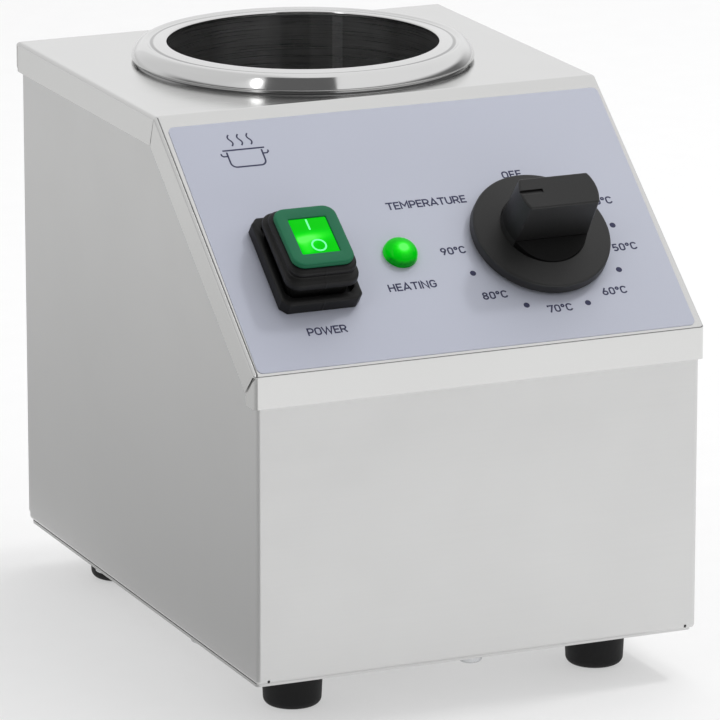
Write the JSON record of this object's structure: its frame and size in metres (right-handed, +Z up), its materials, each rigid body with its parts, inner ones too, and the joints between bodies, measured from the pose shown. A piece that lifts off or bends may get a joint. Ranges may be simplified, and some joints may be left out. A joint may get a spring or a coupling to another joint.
{
  "type": "heated sauce dispenser well",
  "caption": "Countertop electric sauce and cheese warmer: sloped sheet steel housing on rubber feet, lift-out round pot with rolled rim, lit rocker switch, pilot lamp and bar knob.",
  "frame": {"origin": "centre of the footprint at the plane the rubber feet stand on", "axes": "+Z up along the pot, -Y the front with the sloped control panel, +X to the right seen from the front"},
  "size_m": [0.166, 0.2212, 0.2015],
  "materials": {
    "stainless_body": "fine brushed, satin",
    "stainless_cover": "fine brushed, satin",
    "stainless_rear": "fine brushed, satin",
    "pot_steel": "mirror polished rim, brushed inside",
    "well_steel": "drawn steel, plain",
    "zinc_fasteners": "bright zinc plated",
    "control_foil": "satin printed polyester foil",
    "foot_rubber": "matte moulded rubber",
    "boot_rubber": "satin moulded rubber",
    "switch_cap_green": "translucent green elastomer",
    "rocker_lens_green": "lit green lens",
    "pilot_lens_green": "lit green faceted lens",
    "knob_plastic": "fine textured phenolic",
    "black_nylon": "moulded nylon",
    "thermostat_case": "glazed steatite and plated steel",
    "steel_shaft": "plated steel",
    "brass_terminals": "tinned brass",
    "copper_tube": "drawn copper",
    "heater_band": "heat tinted steel",
    "mineral_fibre": "pressed fibre",
    "cutout_case": "phenolic and aluminium",
    "neon_glass": "clear glass",
    "block_nylon": "natural nylon",
    "lead_brown": "silicone insulation",
    "lead_blue": "silicone insulation",
    "lead_earth": "silicone insulation, green with yellow"
  },
  "bodies": {
    "root": {"band_heater": "heater_band", "bottom_plate": "stainless_rear", "bottom_plate_screws": "zinc_fasteners", "capillary_tube": "copper_tube", "control_foil": "control_foil", "cover_screws": "zinc_fasteners", "cutout_screws": "zinc_fasteners", "cutout_terminals": "brass_terminals", "earth_stud": "zinc_fasteners", "foot_front_left": "foot_rubber", "foot_front_right": "foot_rubber", "foot_rear_left": "foot_rubber", "foot_rear_right": "foot_rubber", "foot_screws": "zinc_fasteners", "heater_clamp_nut": "zinc_fasteners", "heater_clamp_screw": "zinc_fasteners", "housing_body": "stainless_body", "inlet_housing": "black_nylon", "inlet_nuts": "zinc_fasteners", "inlet_pins": "brass_terminals", "inlet_screws": "zinc_fasteners", "insulation_sleeve": "mineral_fibre", "lead_cutout": "lead_blue", "lead_earth": "lead_earth", "lead_heater": "lead_brown", "lead_live": "lead_brown", "lead_neutral": "lead_blue", "lead_pilot": "lead_blue", "lead_switched": "lead_brown", "outer_well": "well_steel", "pilot_body": "black_nylon", "pilot_lens": "pilot_lens_green", "pilot_nut": "zinc_fasteners", "pilot_terminals": "brass_terminals", "plate_nuts": "zinc_fasteners", "rear_panel": "stainless_rear", "rear_panel_screws": "zinc_fasteners", "switch_boot_bellows": "boot_rubber", "switch_boot_frame": "boot_rubber", "switch_housing": "black_nylon", "switch_lamp": "neon_glass", "switch_pivot_pin": "steel_shaft", "switch_terminals": "brass_terminals", "terminal_block": "block_nylon", "terminal_block_screws": "zinc_fasteners", "thermal_cutout": "cutout_case", "thermostat_body": "thermostat_case", "thermostat_bulb": "copper_tube", "thermostat_screws": "zinc_fasteners", "thermostat_terminals": "brass_terminals", "top_cover": "stainless_cover", "well_nuts": "zinc_fasteners", "well_studs": "zinc_fasteners"},
    "knob": {"knob": "knob_plastic", "knob_spring_clip": "zinc_fasteners", "thermostat_shaft": "steel_shaft"},
    "rocker": {"switch_rocker": "black_nylon", "switch_cap": "switch_cap_green", "rocker_lens": "rocker_lens_green"},
    "pot": {"inner_pot": "pot_steel"}
  },
  "joints": [
    {"name": "knob_turn", "type": "hinge", "parent": "root", "child": "knob", "pos_m": [0.0362, -0.07954, 0.1563], "axis": [0, -0.6212, 0.7837], "range_deg": [0, 270]},
    {"name": "rocker_tilt", "type": "hinge", "parent": "root", "child": "rocker", "pos_m": [-0.0511, -0.07812, 0.15258], "axis": [1, 0, 0], "range_deg": [0, 8], "deforming": ["switch_boot_bellows"]},
    {"name": "pot_lift", "type": "slide", "parent": "root", "child": "pot", "axis": [0, 0, 1], "range_m": [0, 0.15]}
  ]
}
